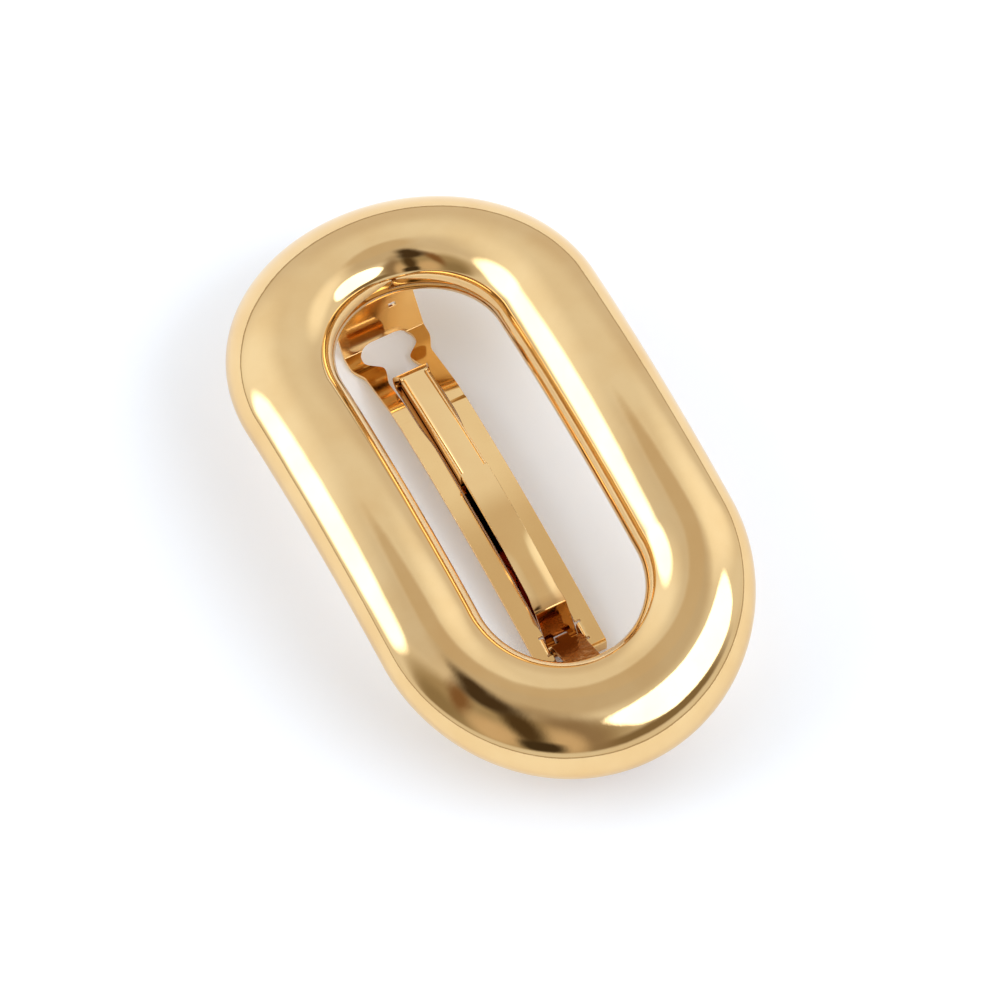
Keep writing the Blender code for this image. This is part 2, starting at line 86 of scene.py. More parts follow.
# Studio: a white room round the clip, with a soft box on either side and a few shaded and bright patches of
# wall and ceiling. The polished gold shows all of it, so each patch has its own place as a direction.
ROOM_WHITE = "#F4F1EE"
TABLE_WHITE = "#EDE9E4"
HORIZON_SHADE = "#B9AC98"
TABLE_TOWARDS = (90, -10)
TABLE_FADE_AHEAD = (-0.2, 0.3)
TABLE_FADE_HEIGHT = (0.22, 0.15)
HORIZON_RISE = (0.0, 0.01)
HORIZON_FALL = (0.06, 0.03)
CARD_LEAST_AHEAD = 0.05
DAYLIGHT = "#EEF5FF"
DAYLIGHT_STRENGTH = 1.157
CAMERA_WHITE = 0.985

# Each card: degrees from straight up, degrees round from +X, turn, half sizes at unit distance, how square,
# how soft, colour, strength
CARDS = {
    "ceiling towards the left box": (24, 235, 0, (0.36, 0.36), 2, 0.5, "#E3DFDC", 1.0),
    "low wall behind": (84, 155, 0, (1.30, 0.45), 3, 0.6, "#E4DDD6", 1.0),
    "bright wall beside the right box": (50, 98, 0, (0.24, 0.42), 2, 0.6, "#FFFFFF", 1.22),
    "glow round the left box": (60, 208, 0, (0.50, 0.60), 2, 0.6, "#FFFFFF", 1.12),
    "ceiling": (10, 50, 0, (0.36, 0.34), 2, 0.4, "#D4CBC0", 1.0),
    "ceiling beyond": (15, 140, 0, (0.21, 0.20), 2.4, 0.3, "#D8CCBC", 1.0),
    "shaded front of the room": (56, -40, 0, (1.05, 0.60), 2.4, 0.35, "#B2A58F", 1.0),
    "shade under the right box": (73, 22, 0, (0.62, 0.13), 3, 0.5, "#8A7A62", 1.0),
    "shade in the left corner": (68, -72, 0, (0.22, 0.30), 2, 0.6, "#9A8C74", 1.0),
    "thin shade line": (50, -3, 0, (0.12, 0.60), 2, 0.7, "#9A8874", 1.0),
    "tan curtain": (62, -12, 0, (0.09, 0.35), 2, 0.7, "#D8C4AC", 1.0),
    "brown rail": (40, -60, 0, (0.08, 0.36), 2, 0.7, "#8A6A4C", 1.0),
    "tan wall": (64, -44, 0, (0.18, 0.30), 2, 0.6, "#DCC8B0", 1.0),
    "dark stand": (46, -26, 0, (0.10, 0.50), 2, 0.6, "#54442F", 1.0),
    "dark foot of the stand": (70, -24, 0, (0.15, 0.15), 3, 0.4, "#463A2A", 1.0),
    "dark head of the stand": (22, -38, 0, (0.15, 0.18), 2, 0.5, "#4C3E2E", 1.0),
    "dark boom": (12, -42, 0, (0.09, 0.17), 2, 0.6, "#4C3E2E", 1.0),
    "right soft box": (50, 43.5, -6, (0.475, 0.335), 3.0, 0.07, "#FFFFFF", 3.2),
    "left soft box": (60, 238, 0, (0.31, 0.37), 2.4, 0.25, "#FFFFFF", 3.2),
}


def linear(hex_colour, strength=1.0):
    """Linear RGBA of an sRGB hex colour, times a strength."""
    srgb = np.array([int(hex_colour[k:k + 2], 16) for k in (1, 3, 5)]) / 255
    value = np.where(srgb <= 0.04045, srgb / 12.92, ((srgb + 0.055) / 1.055) ** 2.4)
    return (*(value * strength).tolist(), 1.0)


# A Mix node's colour sockets go by number, because its sockets for other kinds of value have the same names.
MIX_A = 6
MIX_B = 7
MIX_RESULT = 2


def node(tree, kind, inputs=(), out=0, **settings):
    """Adds a node and gives back one of its outputs. The inputs are values or other nodes' outputs, in order
    or by name, and the settings are the node's own options."""
    made = tree.nodes.new(kind)
    for key, value in settings.items():
        setattr(made, key, value)
    named = inputs if isinstance(inputs, dict) else dict(enumerate(inputs))
    for key, value in named.items():
        if isinstance(value, bpy.types.NodeSocket):
            tree.links.new(value, made.inputs[key])
        else:
            made.inputs[key].default_value = value
    return made.outputs[out] if made.outputs else None


def direction(theta, phi):
    """Unit vector at theta degrees from straight up and phi degrees round from +X."""
    theta, phi = math.radians(theta), math.radians(phi)
    return Vector((math.sin(theta) * math.cos(phi), math.sin(theta) * math.sin(phi), math.cos(theta)))


def card_mask(tree, ray, theta, phi, turn, half, power, edge):
    """Mask of a flat card that faces the clip. With (a, b) the ray's place on it in half sizes, the size
    (|a|^p + |b|^p)^(1/p) takes the mask from 1 to 0 across the soft edge round 1."""
    centre = direction(theta, phi)
    across = Vector((0.0, 0.0, 1.0)).cross(centre).normalized()
    above = centre.cross(across)
    c, s = math.cos(math.radians(turn)), math.sin(math.radians(turn))
    ahead = node(tree, "ShaderNodeVectorMath", (ray, centre), "Value", operation="DOT_PRODUCT")
    parts = []
    for axis, reach in ((across * c + above * s, half[0]), (above * c - across * s, half[1])):
        along = node(tree, "ShaderNodeVectorMath", (ray, axis / reach), "Value", operation="DOT_PRODUCT")
        share = node(tree, "ShaderNodeMath", (along, ahead), operation="DIVIDE")
        share = node(tree, "ShaderNodeMath", (share,), operation="ABSOLUTE")
        parts.append(node(tree, "ShaderNodeMath", (share, power), operation="POWER"))
    size = node(tree, "ShaderNodeMath", parts, operation="ADD")
    size = node(tree, "ShaderNodeMath", (size, 1 / power), operation="POWER")
    inside = node(tree, "ShaderNodeMapRange", {"Value": size, "From Min": 1 + edge, "From Max": 1 - edge},
                  interpolation_type="SMOOTHSTEP")
    front = node(tree, "ShaderNodeMath", (ahead, CARD_LEAST_AHEAD), operation="GREATER_THAN")
    return node(tree, "ShaderNodeMath", (inside, front), operation="MULTIPLY")


world = bpy.data.worlds.new("studio")
bpy.context.scene.world = world
world.use_nodes = True
tree = world.node_tree
tree.nodes.clear()
ray = node(tree, "ShaderNodeTexCoord", out="Generated")
room = linear(ROOM_WHITE)
for theta, phi, turn, half, power, edge, colour, strength in CARDS.values():
    mask = card_mask(tree, ray, theta, phi, turn, half, power, edge)
    room = node(tree, "ShaderNodeMix", {"Factor": mask, MIX_A: room, MIX_B: linear(colour, strength)},
                MIX_RESULT, data_type="RGBA")

# Low in front stands the white table, and a thin shaded line runs round at the height of the horizon.
height = node(tree, "ShaderNodeSeparateXYZ", (ray,), "Z")
table_way = direction(*TABLE_TOWARDS)
ahead = node(tree, "ShaderNodeVectorMath", (ray, table_way), "Value", operation="DOT_PRODUCT")
start, end = TABLE_FADE_AHEAD
ahead = node(tree, "ShaderNodeMapRange", {"Value": ahead, "From Min": start, "From Max": end})
start, end = TABLE_FADE_HEIGHT
table = node(tree, "ShaderNodeMapRange", {"Value": height, "From Min": start, "From Max": end})
table = node(tree, "ShaderNodeMath", (ahead, table), operation="MULTIPLY")
room = node(tree, "ShaderNodeMix", {"Factor": table, MIX_A: room, MIX_B: linear(TABLE_WHITE)},
            MIX_RESULT, data_type="RGBA")
start, end = HORIZON_RISE
rise = node(tree, "ShaderNodeMapRange", {"Value": height, "From Min": start, "From Max": end})
start, end = HORIZON_FALL
fall = node(tree, "ShaderNodeMapRange", {"Value": height, "From Min": start, "From Max": end})
band = node(tree, "ShaderNodeMath", (rise, fall), operation="MULTIPLY")
room = node(tree, "ShaderNodeMix", {"Factor": band, MIX_A: room, MIX_B: linear(HORIZON_SHADE)},
            MIX_RESULT, data_type="RGBA")
room = node(tree, "ShaderNodeMix", {"Factor": 1.0, MIX_A: room, MIX_B: linear(DAYLIGHT)},
            MIX_RESULT, data_type="RGBA", blend_type="MULTIPLY")
lit = node(tree, "ShaderNodeBackground", {"Color": room, "Strength": DAYLIGHT_STRENGTH})
white = node(tree, "ShaderNodeBackground", {"Color": linear("#FFFFFF"), "Strength": CAMERA_WHITE})
seen = node(tree, "ShaderNodeLightPath", out="Is Camera Ray")
node(tree, "ShaderNodeOutputWorld", (node(tree, "ShaderNodeMixShader", (seen, lit, white)),))

# Floor: a matt white sheet, far wider than the view, on which the clip lies. To the camera and in the gold
# it is lifted to the paper white of the background, and it keeps the clip's shadow. From below it is clear,
# so that the clip's underside can be looked at.
FLOOR_HALF = 3.0
FLOOR_DROP = 0.00002
FLOOR_WHITE = "#F4F6F8"
FLOOR_LIFT = "#656769"
FLOOR_ROUGHNESS = 0.9
FLOOR_GLOSS = 0.2

floor_mesh = bpy.data.meshes.new("floor")
corners = [(x * FLOOR_HALF, y * FLOOR_HALF, -FLOOR_DROP) for x, y in ((-1, -1), (1, -1), (1, 1), (-1, 1))]
floor_mesh.from_pydata(corners, [], [(0, 1, 2, 3)])
floor = bpy.data.objects.new("floor", floor_mesh)
bpy.context.scene.collection.objects.link(floor)
floor_paint = bpy.data.materials.new("matt_white_floor")
floor_paint.use_nodes = True
tree = floor_paint.node_tree
floor_shader = tree.nodes["Principled BSDF"]
floor_shader.inputs["Base Color"].default_value = linear(FLOOR_WHITE)
floor_shader.inputs["Roughness"].default_value = FLOOR_ROUGHNESS
floor_shader.inputs["Specular IOR Level"].default_value = FLOOR_GLOSS
floor_shader.inputs["Emission Color"].default_value = linear(FLOOR_LIFT)
seen = node(tree, "ShaderNodeLightPath", out="Is Camera Ray")
shown = node(tree, "ShaderNodeMath", (seen, seen.node.outputs["Is Glossy Ray"]), operation="MAXIMUM")
tree.links.new(shown, floor_shader.inputs["Emission Strength"])
below = node(tree, "ShaderNodeNewGeometry", out="Backfacing")
clear = node(tree, "ShaderNodeBsdfTransparent")
sheet = node(tree, "ShaderNodeMixShader", (below, floor_shader.outputs["BSDF"], clear))
tree.links.new(sheet, tree.nodes["Material Output"].inputs["Surface"])
floor_mesh.materials.append(floor_paint)

# Ring front: the upper shell of a hollow tube, bent to a long oval and arched along its length. It is
# stamped brass, seamed low on its flank, buffed to a mirror and gold plated.
RING_STRAIGHT = 0.0316
RING_END_RADIUS = 0.01505
RING_ARCH_RADIUS = 0.119
RING_HEIGHT = 0.013
TUBE_HALF_WIDTH = 0.00586
TUBE_HALF_HEIGHT = 0.00456
SHELL_WALL = 0.0008
SEAM_DROP = 0.0026
RING_END_STEPS = 200
RING_STRAIGHT_STEPS = 60
RING_OUTER_STEPS = 110
RING_INNER_STEPS = 16
RING_GOLD = "#EBC890"
RING_DEEP_GOLD = "#E6C086"
HAZE_SIZE = 0.006
HAZE_DETAIL = 3.0
HAZE_FROM = 0.35
HAZE_TO = 0.7
POLISHED_SHARE = 0.75
HAZED_SHARE = 1.35
DRAWN_STRETCH_SHARE = 0.012
WAVE_DETAIL = 1.5
RIPPLE_DETAIL = 2.0
LINE_DETAIL = 1.0


def grid_mesh(name, points, present=None, closed=False):
    """Mesh over an array of points of shape (rows, columns, 3). Closed joins it round both ways; otherwise
    present says which cells have a face."""
    rows, columns = points.shape[:2]
    index = np.arange(rows * columns).reshape(rows, columns)
    if closed:
        index = np.pad(index, ((0, 1), (0, 1)), mode="wrap")
    faces = np.stack((index[:-1, :-1], index[1:, :-1], index[1:, 1:], index[:-1, 1:]), axis=-1)
    faces = faces.reshape(-1, 4) if present is None else faces[present]
    used, faces = np.unique(faces, return_inverse=True)
    mesh = bpy.data.meshes.new(name)
    mesh.from_pydata(points.reshape(-1, 3)[used].tolist(), [], faces.reshape(-1, 4).tolist())
    mesh.shade_smooth()
    return mesh


def ring_path():
    """Middle line of the ring seen from above, as (x, y, outward x, outward y): a straight run along X and a
    half circle (x, y) = (r cos t, r sin t) round its end, and then both once more on the other side."""
    half = RING_STRAIGHT / 2
    runs = []
    for side in (1, -1):
        x = side * (half - RING_STRAIGHT * np.arange(RING_STRAIGHT_STEPS) / RING_STRAIGHT_STEPS)
        flat = np.zeros_like(x)
        runs.append(np.stack((x, flat + side * RING_END_RADIUS, flat, flat + side), axis=1))
        turn = side * math.pi / 2 + math.pi * np.arange(RING_END_STEPS) / RING_END_STEPS
        c, s = np.cos(turn), np.sin(turn)
        runs.append(np.stack((RING_END_RADIUS * c - side * half, RING_END_RADIUS * s, c, s), axis=1))
    return np.concatenate(runs)


def swept_ring(name, section):
    """A closed (outward, up) section carried round the ring: z = height + up - x^2 / (2 arch radius)."""
    path = ring_path()[:, None, :]
    x = path[..., 0] + path[..., 2] * section[None, :, 0]
    y = path[..., 1] + path[..., 3] * section[None, :, 0]
    z = RING_HEIGHT + section[None, :, 1] - x * x / (2 * RING_ARCH_RADIUS)
    return grid_mesh(name, np.stack((x, y, z), axis=-1), closed=True)


def tube_arc(half_width, half_height, low, high, steps):
    """The ellipse (w cos t, h sin t), from one level on its outer flank over or round to the other."""
    t = np.linspace(low, high, steps + 1)
    return np.stack((half_width * np.cos(t), half_height * np.sin(t)), axis=1)


def add_piece(name, mesh, material, body, slot, *nodes):
    """Adds a finished piece that rides on a body and stands for these nodes."""
    piece = bpy.data.objects.new(name, mesh)
    bpy.context.scene.collection.objects.link(piece)
    mesh.materials.append(material)
    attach(piece, body)
    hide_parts(*nodes)
    return piece


def gold_plate(name, colour, deep_colour, roughness, wave, ripple, line):
    """Bright gold plate on worked metal. Wave and ripple are the (size, height) of the low waves that
    forming and buffing leave and of the finer peel in the plate, and line is that of the drawn lines along
    X. Haze in soft patches deepens the colour and dulls the polish a little."""
    material = bpy.data.materials.new(name)
    material.use_nodes = True
    tree = material.node_tree
    shader = tree.nodes["Principled BSDF"]
    shader.inputs["Metallic"].default_value = 1.0
    place = node(tree, "ShaderNodeTexCoord", out="Object")
    haze = node(tree, "ShaderNodeTexNoise", {"Vector": place, "Scale": 1 / HAZE_SIZE, "Detail": HAZE_DETAIL})
    haze = node(tree, "ShaderNodeMapRange", {"Value": haze, "From Min": HAZE_FROM, "From Max": HAZE_TO})
    tint = node(tree, "ShaderNodeMix", {"Factor": haze, MIX_A: linear(colour), MIX_B: linear(deep_colour)},
                MIX_RESULT, data_type="RGBA")
    tree.links.new(tint, shader.inputs["Base Color"])
    rough = node(tree, "ShaderNodeMapRange",
                 {"Value": haze, "To Min": roughness * POLISHED_SHARE, "To Max": roughness * HAZED_SHARE})
    tree.links.new(rough, shader.inputs["Roughness"])
    drawn = node(tree, "ShaderNodeMapping", {"Vector": place, "Scale": (DRAWN_STRETCH_SHARE, 1.0, 1.0)})
    surface = 0.0
    for vector, (size, depth), detail in (
        (place, wave, WAVE_DETAIL), (place, ripple, RIPPLE_DETAIL), (drawn, line, LINE_DETAIL),
    ):
        bumps = node(tree, "ShaderNodeTexNoise", {"Vector": vector, "Scale": 1 / size, "Detail": detail})
        surface = node(tree, "ShaderNodeMath", (bumps, depth, surface), operation="MULTIPLY_ADD")
    bump = node(tree, "ShaderNodeBump", {"Height": surface, "Strength": 1.0, "Distance": 1.0})
    tree.links.new(bump, shader.inputs["Normal"])
    return material


# Mirror-polished gold plate: it mirrors the whole room, bent by broad soft waves from the stamping, and a
# very fine peel in the plate takes the hardness off the highlights.
ring_gold = gold_plate("mirror_polished_gold_plate", RING_GOLD, RING_DEEP_GOLD, roughness=0.045,
                       wave=(0.0045, 0.00002), ripple=(0.0009, 0.0000025), line=(0.0003, 0.00000002))
seam_turn = math.asin(SEAM_DROP / TUBE_HALF_HEIGHT)
outer = tube_arc(TUBE_HALF_WIDTH, TUBE_HALF_HEIGHT, -seam_turn, math.pi + seam_turn, RING_OUTER_STEPS)
seam_turn = math.asin(SEAM_DROP / (TUBE_HALF_HEIGHT - SHELL_WALL))
inner = tube_arc(TUBE_HALF_WIDTH - SHELL_WALL, TUBE_HALF_HEIGHT - SHELL_WALL,
                 math.pi + seam_turn, -seam_turn, RING_INNER_STEPS)
add_piece("ring_front", swept_ring("ring_front", np.concatenate((outer, inner))), ring_gold,
          "ring", "polished_gold_ring", "ring_front_shell")

# Ring back: the flat plate that closes the hollow tube from below, soldered to the front along the seam. Its
# sides carry on the tube's curve, and its lower edges are rounded over.
BACK_DROP = 0.0034
SEAM_GAP = 0.0001
BACK_SIDE_STEPS = 6
BACK_FLAT_STEPS = 8
BACK_EDGE = 0.0002
SHARP_EDGE = math.radians(40)
EDGE_STEPS = 2


def rounded_edges(piece, width):
    """Rounds every edge at which the surface turns by more than SHARP_EDGE."""
    bevel = piece.modifiers.new("rounded edges", "BEVEL")
    bevel.width = width
    bevel.segments = EDGE_STEPS
    bevel.limit_method = "ANGLE"
    bevel.angle_limit = SHARP_EDGE
    bevel.use_clamp_overlap = False
    bevel.harden_normals = True


top = math.asin((SEAM_DROP + SEAM_GAP) / TUBE_HALF_HEIGHT)
bottom = math.asin(BACK_DROP / TUBE_HALF_HEIGHT)
far_side = tube_arc(TUBE_HALF_WIDTH, TUBE_HALF_HEIGHT, -bottom, -top, BACK_SIDE_STEPS)
near_side = far_side[::-1] * (-1, 1)
across = np.linspace(1, -1, BACK_FLAT_STEPS + 1)[1:-1, None]
upper = np.hstack((far_side[-1, 0] * across, far_side[-1, 1] + 0 * across))
lower = np.hstack((-far_side[0, 0] * across, far_side[0, 1] + 0 * across))
section = np.concatenate((far_side, upper, near_side, lower))
rounded_edges(add_piece("ring_back", swept_ring("ring_back", section), ring_gold,
                        "ring", "polished_gold_ring", "ring_back_plate"), BACK_EDGE)

# Locking arm: one strip of 0.5 mm sheet, slotted for the tension bar, with ears bent down round the pin, a
# lip at the hinge end and the nose bent up behind the ring. It is stamped, folded and gold plated bright.
SHEET = 0.0005
SHEET_EDGE = 0.00005
PIN_X = 0.0173
PIN_RADIUS = 0.0004
PIN_CLEARANCE = 0.00008
PIN_UNDER_ARM = 0.0001
ARM_MID_DROP = 0.0095
ARM_TILT = 0.027
ARM_ARCH_RADIUS = 0.15
ARM_END_X = 0.0194
ARM_HALF_WIDTH = 0.004
ARM_ROW_STEP = 0.0004
DIP_ROW_STEP = 0.00012
NOSE_ROW_STEP = 0.00007
CURVED_END_ROWS = 9
ARCH_ROWS = 120
BEND_STEPS = 10
LIP_STEPS = 8
LEAST_ROW_STEP = 0.00003
ARM_DIP_REACH = 0.0012
LIP_BEND = 0.0006
LIP_BRIDGE_HEIGHT = 0.0006
VALLEY_INSIDE_END = 0.00825
VALLEY_X = VALLEY_INSIDE_END - RING_STRAIGHT / 2 - RING_END_RADIUS
VALLEY_FLOOR_RADIUS = 0.004
DIP_START_X = VALLEY_X + 0.0078
FLARE_START_X = VALLEY_X + 0.0015
FLARE_LENGTH = 0.0024
NOSE_BEND_X = VALLEY_X - 0.0021
WINDOW_START_X = VALLEY_X - 0.0024
WINDOW_MIDDLE_X = VALLEY_X - 0.0008
NECK_X = VALLEY_X + 0.0011
BAY_START_X = VALLEY_X + 0.0037
BAY_TAPER_X = VALLEY_X + 0.0101
BAY_END_X = VALLEY_X + 0.0141
NOSE_ANGLE = math.radians(54)
NOSE_UNDER_RING = 0.00285
NOSE_HALF_WIDTH = 0.0048
NOSE_CORNER = 0.0006
WINDOW_HALF_WIDTH = 0.00315
WINDOW_END_HALF_WIDTH = 0.0015
NECK_HALF_WIDTH = 0.00155
SLOT_HALF_WIDTH = 0.0019
SLOT_BAY_DEPTH = 0.0003
EAR_START_X = PIN_X - 0.0011
EAR_END_X = PIN_X + 0.0008
EAR_STEPS = 6
NOTCH_LENGTH = 0.00025
NOTCH_DEPTH = 0.0006
PASSAGE_HALF_WIDTH = 0.0019
NOSE_HOLE_HALF_WIDTH = 0.0004
NOSE_HOLE_LENGTH = 0.00024
NOSE_HOLE_OFFSET = 0.0021
NOSE_HOLE_FROM_END = 0.0007
CLASP_GOLD = "#F2CB8C"
CLASP_DEEP_GOLD = "#EDC384"


def arc(centre, radius, first, last, steps):
    """Points at even turns round a centre: (cx + r cos t, cz + r sin t)."""
    t = np.linspace(first, last, steps + 1)
    return np.stack((centre[0] + radius * np.cos(t), centre[1] + radius * np.sin(t)), axis=1)


def bend(before, corner, after, radius, steps):
    """The arc that rounds a corner: it touches both runs at radius / tan(half the angle between them)."""
    before, corner, after = np.array(before), np.array(corner), np.array(after)
    a = (before - corner) / np.linalg.norm(before - corner)
    b = (after - corner) / np.linalg.norm(after - corner)
    half = math.acos(float(a @ b)) / 2
    centre = corner + (a + b) / np.linalg.norm(a + b) * radius / math.sin(half)
    start, end = (corner + side * radius / math.tan(half) - centre for side in (a, b))
    first, last = math.atan2(start[1], start[0]), math.atan2(end[1], end[0])
    return arc(centre, radius, first, first + (last - first + math.pi) % (2 * math.pi) - math.pi, steps)


def ease(value):
    """Smooth step from 0 to 1: 3 t^2 - 2 t^3."""
    share = np.clip(value, 0.0, 1.0)
    return share * share * (3 - 2 * share)


def arm_z(x):
    """Upper face of the arm's long arch: a tilted parabola under the ring."""
    return RING_HEIGHT - ARM_MID_DROP - ARM_TILT * x - x * x / (2 * ARM_ARCH_RADIUS)


def ring_back_z(x):
    """Lower face of the ring's back, which follows the ring's arch: height - drop - x^2 / (2 radius)."""
    return RING_HEIGHT - BACK_DROP - x * x / (2 * RING_ARCH_RADIUS)


def arm_profile():
    """Upper face along its length, as (x, z): the arch, a straight run down to the valley's flat floor, and
    the nose bent up by its angle."""
    x = np.linspace(ARM_END_X, DIP_START_X, ARCH_ROWS)
    arch = np.stack((x, arm_z(x)), axis=1)
    floor_start, nose_bend = (VALLEY_X, SHEET), (NOSE_BEND_X, SHEET)
    tip_z = ring_back_z(VALLEY_X) - NOSE_UNDER_RING
    tip = (NOSE_BEND_X - (tip_z - SHEET) / math.tan(NOSE_ANGLE), tip_z)
    dip = math.atan2(arch[-1, 1] - SHEET, DIP_START_X - VALLEY_X)
    dip_radius = ARM_DIP_REACH / math.tan(dip / 2)
    dip_bend = bend(arch[0], arch[-1], floor_start, dip_radius, BEND_STEPS)
    floor_bend = bend(arch[-1], floor_start, nose_bend, VALLEY_FLOOR_RADIUS, BEND_STEPS)
    kept = arch[arch[:, 0] > dip_bend[0, 0]]
    return np.concatenate((kept, dip_bend, floor_bend, [nose_bend, tip]))


def arm_edge(x, nose_x):
    """Half width: it flares at the nose by a smooth step, and a quarter circle rounds the nose's corners."""
    flare = ease((FLARE_START_X - x) / FLARE_LENGTH)
    from_end = np.clip((x - nose_x) / math.cos(NOSE_ANGLE), 0, NOSE_CORNER)
    corner = NOSE_CORNER - np.sqrt(NOSE_CORNER ** 2 - (NOSE_CORNER - from_end) ** 2)
    return ARM_HALF_WIDTH + (NOSE_HALF_WIDTH - ARM_HALF_WIDTH) * flare - corner


def arm_opening(x):
    """Half width of the opening: window with a bowed end, neck, slot with its wider bay, tongue passage."""
    reach = np.clip((WINDOW_MIDDLE_X - x) / (WINDOW_MIDDLE_X - WINDOW_START_X), 0, 1)
    window = WINDOW_END_HALF_WIDTH + (WINDOW_HALF_WIDTH - WINDOW_END_HALF_WIDTH) * np.sqrt(1 - reach ** 3)
    bay = SLOT_HALF_WIDTH + SLOT_BAY_DEPTH
    closing = ease((x - WINDOW_MIDDLE_X) / (NECK_X - WINDOW_MIDDLE_X))
    neck = WINDOW_HALF_WIDTH + (NECK_HALF_WIDTH - WINDOW_HALF_WIDTH) * closing
    opening = NECK_HALF_WIDTH + (bay - NECK_HALF_WIDTH) * ease((x - NECK_X) / (BAY_START_X - NECK_X))
    slot = bay - SLOT_BAY_DEPTH * ease((x - BAY_TAPER_X) / (BAY_END_X - BAY_TAPER_X))
    passage = np.full_like(x, PASSAGE_HALF_WIDTH)
    ends = (WINDOW_MIDDLE_X, NECK_X, BAY_START_X, EAR_END_X + NOTCH_LENGTH / 2)
    return np.select([x <= end for end in ends], (window, neck, opening, slot), passage)


def folded_strip(name, path, half_widths, rises, near, far=None):
    """Sheet along an (x, z) path: one row of points across it for each point, at +- each half width, raised
    by the rises, with a face in each cell that near allows on one side and far on the other."""
    far = near if far is None else far
    y = np.concatenate((-half_widths, half_widths[:, ::-1]), axis=1)
    z = path[:, 1:] + np.concatenate((rises, rises[:, ::-1]), axis=1)
    points = np.stack((np.broadcast_to(path[:, :1], y.shape), y, z), axis=-1)
    return grid_mesh(name, points, np.concatenate((near, far[:, -2::-1]), axis=1))


def thickened(piece, offset, thickness, edge):
    """Gives a sheet its thickness, below its face at offset -1 and to both sides at 0, and rounds its
    edges."""
    solid = piece.modifiers.new("sheet", "SOLIDIFY")
    solid.thickness = thickness
    solid.offset = offset
    solid.use_even_offset = True
    solid.use_quality_normals = True
    rounded_edges(piece, edge)


def between(x, start, end):
    """Says which of the places lie between two limits."""
    return (x > start) & (x < end)


# Bright gold plate on drawn strip: flatter than the ring, so it mirrors more evenly. Its faint drawn lines
# run along the strip, 0.2 mm apart, coarser than the real ones, so that they show.
clasp_gold = gold_plate("bright_gold_plated_strip", CLASP_GOLD, CLASP_DEEP_GOLD, roughness=0.08,
                        wave=(0.003, 0.000004), ripple=(0.0006, 0.0000003), line=(0.0002, 0.00000008))

# Rows of points stand across the strip: closer along the nose, and one at the start and end of each cut.
profile = arm_profile()
nose_x = profile[-1, 0]
hole_start = nose_x + NOSE_HOLE_FROM_END
hole_end = hole_start + NOSE_HOLE_LENGTH
marks = [nose_x, hole_start, hole_end, NOSE_BEND_X, BAY_TAPER_X, BAY_END_X, ARM_END_X - LIP_BEND]
for ear in (EAR_START_X, EAR_END_X):
    marks += [ear, ear + math.copysign(NOTCH_LENGTH, ear - PIN_X)]
stations = np.concatenate((
    nose_x + np.linspace(0, NOSE_CORNER * math.cos(NOSE_ANGLE), CURVED_END_ROWS),
    np.arange(nose_x, WINDOW_START_X, NOSE_ROW_STEP),
    WINDOW_START_X + (WINDOW_MIDDLE_X - WINDOW_START_X) * ease(np.linspace(0, 1, CURVED_END_ROWS)),
    np.arange(WINDOW_MIDDLE_X, DIP_START_X + ARM_DIP_REACH, DIP_ROW_STEP),
    np.arange(DIP_START_X + ARM_DIP_REACH, ARM_END_X - LIP_BEND, ARM_ROW_STEP),
))
near_mark = np.abs(stations[:, None] - np.array(marks)).min(axis=1) < LEAST_ROW_STEP
stations = np.unique(np.concatenate((stations[~near_mark], marks)).round(8))
end_z = float(arm_z(ARM_END_X - LIP_BEND))
lip = arc((ARM_END_X - LIP_BEND, end_z - LIP_BEND), LIP_BEND, math.pi / 2, 0, LIP_STEPS)[1:]
lip = np.concatenate((lip, [(ARM_END_X, LIP_BRIDGE_HEIGHT), (ARM_END_X, 0.0)]))
heights = np.interp(stations, profile[::-1, 0], profile[::-1, 1])
path = np.concatenate((np.stack((stations, heights), axis=1), lip))
x, z = path[:, 0], path[:, 1]

# Across it: the edge, a line between hole and slot, the slot's side or the ear's bend, and the ear's foot.
edge = arm_edge(x, nose_x)
on_nose = x < WINDOW_START_X
inner = np.where(on_nose, NOSE_HOLE_OFFSET - NOSE_HOLE_HALF_WIDTH, arm_opening(x))
middle = np.where(on_nose, NOSE_HOLE_OFFSET + NOSE_HOLE_HALF_WIDTH,
                  np.where(x > BAY_END_X, SLOT_HALF_WIDTH + NOTCH_DEPTH, (inner + edge) / 2))
on_ear = between(x, EAR_START_X - NOTCH_LENGTH / 2, EAR_END_X + NOTCH_LENGTH / 2)[:, None]
share = np.linspace(0, 1, EAR_STEPS + 1)
turn = share * math.pi / 2
inward = np.where(on_ear, inner[:, None] + LIP_BEND * (1 - np.sin(turn)), inner[:, None] * (1 - share / 2))
fall = np.where(on_ear, LIP_BEND * (np.cos(turn) - 1), 0.0)
foot = np.where(on_ear, inner[:, None], inner[:, None] / 3)
foot_fall = np.where(on_ear, -z[:, None], 0.0)
half_widths = np.concatenate((edge[:, None], middle[:, None], inward, foot), axis=1)
rises = np.concatenate((np.zeros((len(x), 2)), fall, foot_fall), axis=1)

